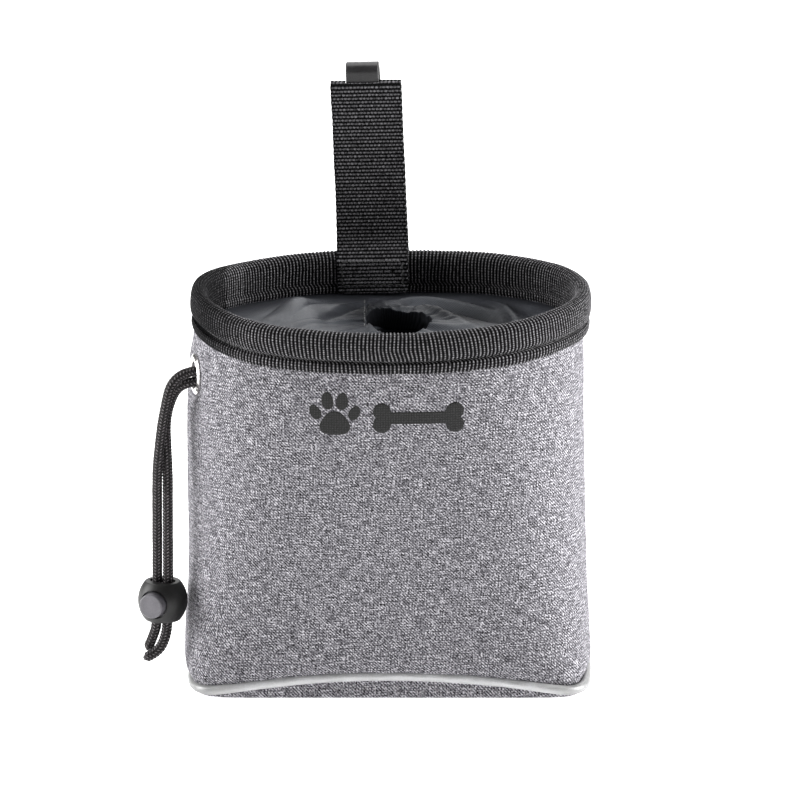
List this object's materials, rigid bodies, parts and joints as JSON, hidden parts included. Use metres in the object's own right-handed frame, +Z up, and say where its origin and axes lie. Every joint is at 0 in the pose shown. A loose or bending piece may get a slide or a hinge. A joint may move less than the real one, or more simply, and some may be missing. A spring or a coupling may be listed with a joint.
{
  "type": "treat pouch",
  "caption": "Soft standing pouch with a hooped oval mouth, a drawcord collar with a cord lock, and a webbing strap with a belt clip.",
  "frame": {"origin": "centre of the base, on the surface the pouch stands on", "axes": "+Z up, the front faces -Y, +X to the right seen from the front"},
  "size_m": [0.1607, 0.1185, 0.2118],
  "materials": {
    "shell_cloth": "pale grey melange plain weave, matte",
    "board": "black stiffener sheet",
    "reflective": "silver reflective tape",
    "cord": "black braided polyester",
    "lining": "black nylon, slight sheen",
    "webbing": "black ribbed webbing",
    "hoop": "plain spring strip",
    "nickel": "bright nickel plate",
    "clip_steel": "black paint, satin",
    "lock_plastic": "black, fine matte",
    "button_plastic": "black, satin",
    "spring_steel": "plain wire"
  },
  "bodies": {
    "bag": {"front_panel": "shell_cloth", "back_panel": "shell_cloth", "base_panel": "shell_cloth", "base_board": "board", "piping_sleeve": "reflective", "piping_core": "cord", "lining": "lining", "rim_tape": "webbing", "rim_hoop": "hoop", "hoop_sleeve": "hoop", "closure_collar": "lining", "collar_channel": "lining", "eyelet": "nickel", "eyelet_washer": "nickel", "cord_tail_a": "cord", "cord_tail_b": "cord", "drawcord_loop": "cord", "drawcord_lead_a": "cord", "drawcord_lead_b": "cord", "strap_root_inner": "webbing", "strap_root_outer": "webbing"},
    "strap": {"strap_loop": "webbing", "clip_spring": "clip_steel", "clip_rivets": "clip_steel"},
    "clip_outer": {"clip_leg": "clip_steel"},
    "cord_lock": {"lock_body": "lock_plastic", "lock_spring": "spring_steel"},
    "lock_button": {"lock_plunger": "button_plastic"}
  },
  "joints": [
    {"name": "strap_bend", "type": "hinge", "parent": "bag", "child": "strap", "pos_m": [-0.006, 0.0527, 0.1454], "axis": [0.9953, -0.0871, 0.0419], "range_deg": [-35, 80], "stiffness_Nm_per_rad": 0.06},
    {"name": "clip_open", "type": "hinge", "parent": "strap", "child": "clip_outer", "pos_m": [-0.00926, 0.05941, 0.2081], "axis": [0.9953, -0.0871, 0.0419], "range_deg": [0, 12], "stiffness_Nm_per_rad": 0.4, "springref_deg": -2.86},
    {"name": "lock_slide", "type": "slide", "parent": "bag", "child": "cord_lock", "axis": [0, 0, 1], "range_m": [0, 0.028]},
    {"name": "lock_press", "type": "slide", "parent": "cord_lock", "child": "lock_button", "axis": [0.4226, 0.9063, 0], "range_m": [0, 0.0014], "stiffness_N_per_m": 400, "springref_m": -0.002, "deforming": ["lock_spring"]}
  ]
}
